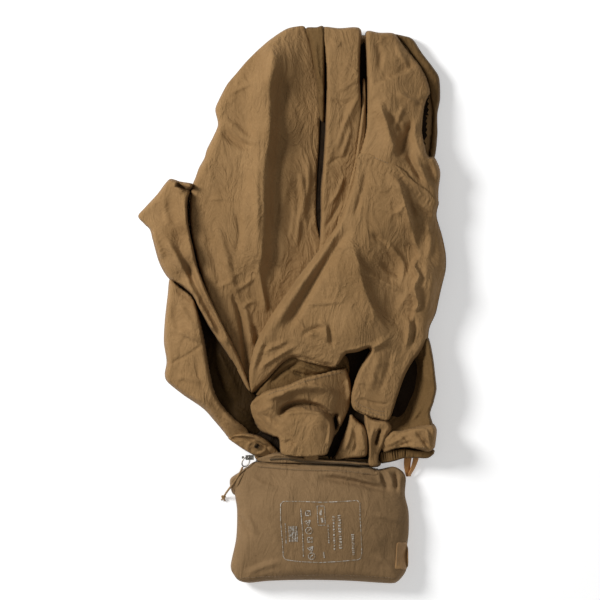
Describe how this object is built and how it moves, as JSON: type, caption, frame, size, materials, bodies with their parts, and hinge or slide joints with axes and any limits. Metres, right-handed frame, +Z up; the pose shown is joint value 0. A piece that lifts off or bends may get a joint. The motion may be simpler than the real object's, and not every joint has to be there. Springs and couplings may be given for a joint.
{
  "type": "packable wind jacket",
  "caption": "Crumpled hooded wind jacket lying flat, half drawn out of its own zipped stash pouch, with zip pull, hang loop and cuff.",
  "frame": {"origin": "middle of the footprint, on the surface that the jacket lies on", "axes": "+X to the wearer's-left side of the flat lay, +Y from the pouch to the collar end, +Z up off the surface"},
  "size_m": [0.339, 0.609, 0.058],
  "materials": {
    "coyote_cloth": "thin satin-faced nylon, crumpled",
    "shaded_cloth": "thin satin-faced nylon, in folds",
    "inner_cloth": "thin nylon, deep in the folds",
    "pouch_cloth": "thin satin-faced nylon, stretched over its filling",
    "tan_webbing": "ribbed webbing tape",
    "print_ink": "thin matt print",
    "zip_tape": "woven tape",
    "zip_coil": "moulded coil",
    "grey_metal": "worn grey enamel",
    "tan_cord": "braided cord"
  },
  "bodies": {
    "jacket": {"jacket_lower_layers": "inner_cloth", "back_panel": "coyote_cloth", "back_panel_fold": "shaded_cloth", "front_strip": "coyote_cloth", "storm_flap": "shaded_cloth", "shoulder_edge": "inner_cloth", "shoulder_yoke": "coyote_cloth", "main_drape": "coyote_cloth", "front_facing": "coyote_cloth", "hood_seam_fold": "shaded_cloth", "hood_crown": "shaded_cloth", "hood_tab": "coyote_cloth", "hem_channel": "coyote_cloth", "mouth_fold_middle": "coyote_cloth", "mouth_fold_right": "shaded_cloth", "sleeve_inner": "coyote_cloth", "cuff_cloth": "coyote_cloth", "cuff_elastic": "shaded_cloth", "sleeve_left": "coyote_cloth", "front_left": "coyote_cloth", "inner_lining": "inner_cloth", "drawcord_tab": "coyote_cloth", "eyelet": "grey_metal", "pouch_front_panel": "pouch_cloth", "pouch_back_panel": "pouch_cloth", "pouch_fill": "inner_cloth", "pouch_corner_flap": "pouch_cloth", "side_tab": "tan_webbing", "care_print": "print_ink", "zip_tape_front": "zip_tape", "zip_coil_front": "zip_coil", "zip_tape_back": "zip_tape", "zip_coil_back": "zip_coil", "zip_end_stop": "grey_metal"},
    "zip_slider": {"zip_slider": "grey_metal"},
    "zip_pull": {"pull_ring": "grey_metal", "pull_cord": "tan_cord", "pull_knot": "tan_cord"},
    "hang_loop": {"hang_loop": "tan_webbing"}
  },
  "joints": [
    {"name": "zip_slide", "type": "slide", "parent": "jacket", "child": "zip_slider", "axis": [1, 0, 0], "range_m": [0, 0.003]},
    {"name": "zip_pull_lift", "type": "hinge", "parent": "zip_slider", "child": "zip_pull", "pos_m": [-0.048, -0.1693, 0.0202], "axis": [-0.8616, 0.5075, 0], "range_deg": [0, 95]},
    {"name": "hang_loop_lift", "type": "hinge", "parent": "jacket", "child": "hang_loop", "pos_m": [0.1318, -0.1744, 0.0058], "axis": [-1, 0, 0], "range_deg": [0, 60]}
  ]
}
